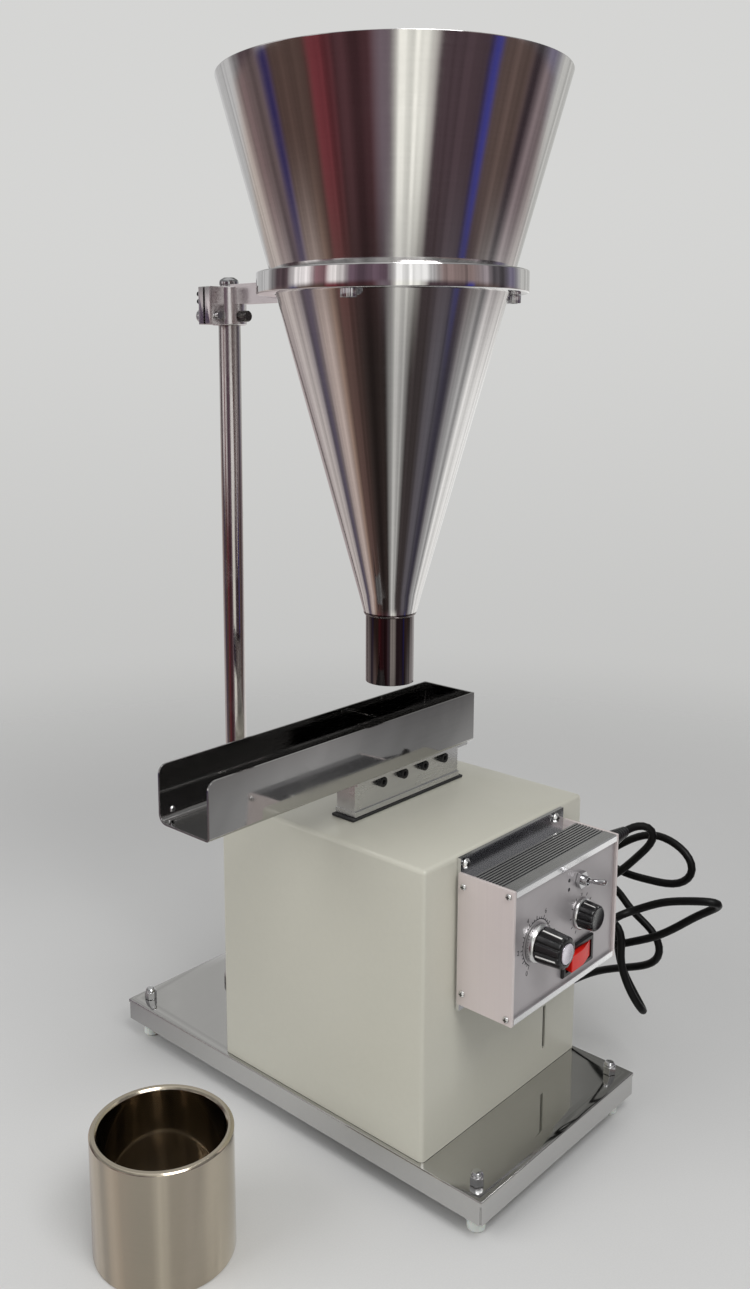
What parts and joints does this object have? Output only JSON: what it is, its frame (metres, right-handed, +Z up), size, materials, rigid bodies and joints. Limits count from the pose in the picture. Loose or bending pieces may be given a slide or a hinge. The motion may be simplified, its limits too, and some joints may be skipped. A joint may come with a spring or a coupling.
{
  "type": "vibratory feeder",
  "caption": "Bench-top vibratory feeder: a steel hopper funnel on a clamped post feeds an open trough on a boxed magnetic drive, with a side controller and a receiving cup.",
  "frame": {"origin": "on the standing surface, under the middle of the machine's bounding box with its cords left out", "axes": "+X to the right, towards the controller; -Y forwards, the way the trough discharges; +Z up"},
  "size_m": [0.3789, 0.5423, 0.6882],
  "materials": {
    "cabinet_paint": "semi-gloss light grey paint",
    "polished_stainless": "polished stainless sheet",
    "turned_stainless": "turned and polished stainless",
    "satin_steel": "satin turned steel",
    "chrome": "polished chrome",
    "bare_aluminium": "fine satin",
    "zinc_plate": "zinc plated",
    "iron": "dark, as laminated or cast",
    "spring_steel": "blued spring steel",
    "copper_winding": "taped copper winding",
    "black_oxide": "black oxide",
    "rubber": "matt black",
    "black_plastic": "satin black",
    "nylon": "milky",
    "red_plastic": "gloss red",
    "board": "green circuit board"
  },
  "bodies": {
    "machine": {"base_tray": "polished_stainless", "box_extrusion": "bare_aluminium", "cabinet_gasket": "rubber", "cabinet_grommet": "rubber", "cabinet_shell": "cabinet_paint", "circuit_board": "board", "ear_screw_1": "zinc_plate", "ear_screw_2": "zinc_plate", "end_plate_front": "bare_aluminium", "end_plate_rear": "bare_aluminium", "end_screw_1": "zinc_plate", "end_screw_2": "zinc_plate", "end_screw_3": "zinc_plate", "end_screw_4": "zinc_plate", "foot_front_left": "nylon", "foot_front_right": "nylon", "foot_nut_front_left": "zinc_plate", "foot_nut_front_right": "zinc_plate", "foot_nut_rear_left": "zinc_plate", "foot_nut_rear_right": "zinc_plate", "foot_rear_left": "nylon", "foot_rear_right": "nylon", "front_panel": "bare_aluminium", "isolator_pad": "rubber", "leaf_spring_front": "spring_steel", "leaf_spring_rear": "spring_steel", "magnet_coil": "copper_winding", "magnet_core": "iron", "mains_coil": "rubber", "mains_cord": "rubber", "mains_gland": "black_plastic", "mains_plug": "black_plastic", "rocker_bezel": "black_plastic", "toggle_bush": "chrome", "vibrator_base": "iron", "vibrator_connector": "chrome", "vibrator_cord": "rubber"},
    "vibrating_tray": {"trough": "polished_stainless", "trough_bracket": "bare_aluminium", "armature": "iron", "bracket_screw_1": "black_oxide", "bracket_screw_2": "black_oxide", "bracket_screw_3": "black_oxide", "bracket_screw_4": "black_oxide"},
    "post": {"post": "chrome", "post_cap": "chrome"},
    "arm": {"clamp_arm": "bare_aluminium", "set_screw": "black_oxide", "funnel_ring": "turned_stainless", "ring_screw_1": "chrome", "ring_screw_2": "chrome", "ring_screw_3": "chrome"},
    "clamp_screw": {"clamp_screw": "chrome"},
    "funnel": {"funnel": "polished_stainless"},
    "speed_knob": {"speed_knob": "black_plastic", "knob_skirt": "chrome"},
    "fine_knob": {"fine_knob": "black_plastic"},
    "toggle": {"toggle_lever": "chrome"},
    "rocker": {"rocker_button": "red_plastic"},
    "cup": {"receiving_cup": "satin_steel"}
  },
  "joints": [
    {"name": "tray_vibration", "type": "slide", "parent": "machine", "child": "vibrating_tray", "axis": [0, -0.9659, 0.2588], "range_m": [-0.0005, 0.0005], "stiffness_N_per_m": 20000, "deforming": ["leaf_spring_front", "leaf_spring_rear"]},
    {"name": "arm_swing", "type": "hinge", "parent": "machine", "child": "post", "pos_m": [-0.1328, 0.0685, 0.3], "axis": [0, 0, 1], "range_deg": [-90, 90]},
    {"name": "arm_height", "type": "slide", "parent": "post", "child": "arm", "axis": [0, 0, 1], "range_m": [-0.015, 0.01]},
    {"name": "clamp_screw_turn", "type": "hinge", "parent": "arm", "child": "clamp_screw", "pos_m": [-0.1328, 0.051, 0.547], "axis": [1, 0, 0], "range_deg": [-180, 180]},
    {"name": "funnel_lift", "type": "slide", "parent": "arm", "child": "funnel", "axis": [0, 0, 1], "range_m": [0, 0.12]},
    {"name": "speed_knob_turn", "type": "hinge", "parent": "machine", "child": "speed_knob", "pos_m": [0.1633, 0.0502, 0.1685], "axis": [1, 0, 0], "range_deg": [-150, 150]},
    {"name": "fine_knob_turn", "type": "hinge", "parent": "machine", "child": "fine_knob", "pos_m": [0.1593, 0.1012, 0.169], "axis": [1, 0, 0], "range_deg": [-150, 150]},
    {"name": "toggle_throw", "type": "hinge", "parent": "machine", "child": "toggle", "pos_m": [0.1575, 0.0982, 0.193], "axis": [0, 1, 0], "range_deg": [0, 24]},
    {"name": "rocker_throw", "type": "hinge", "parent": "machine", "child": "rocker", "pos_m": [0.1513, 0.0962, 0.1425], "axis": [0, 0, 1], "range_deg": [-16, 0]},
    {"name": "cup_lift", "type": "slide", "parent": "machine", "child": "cup", "axis": [0, 0, 1], "range_m": [0, 0.1]}
  ]
}
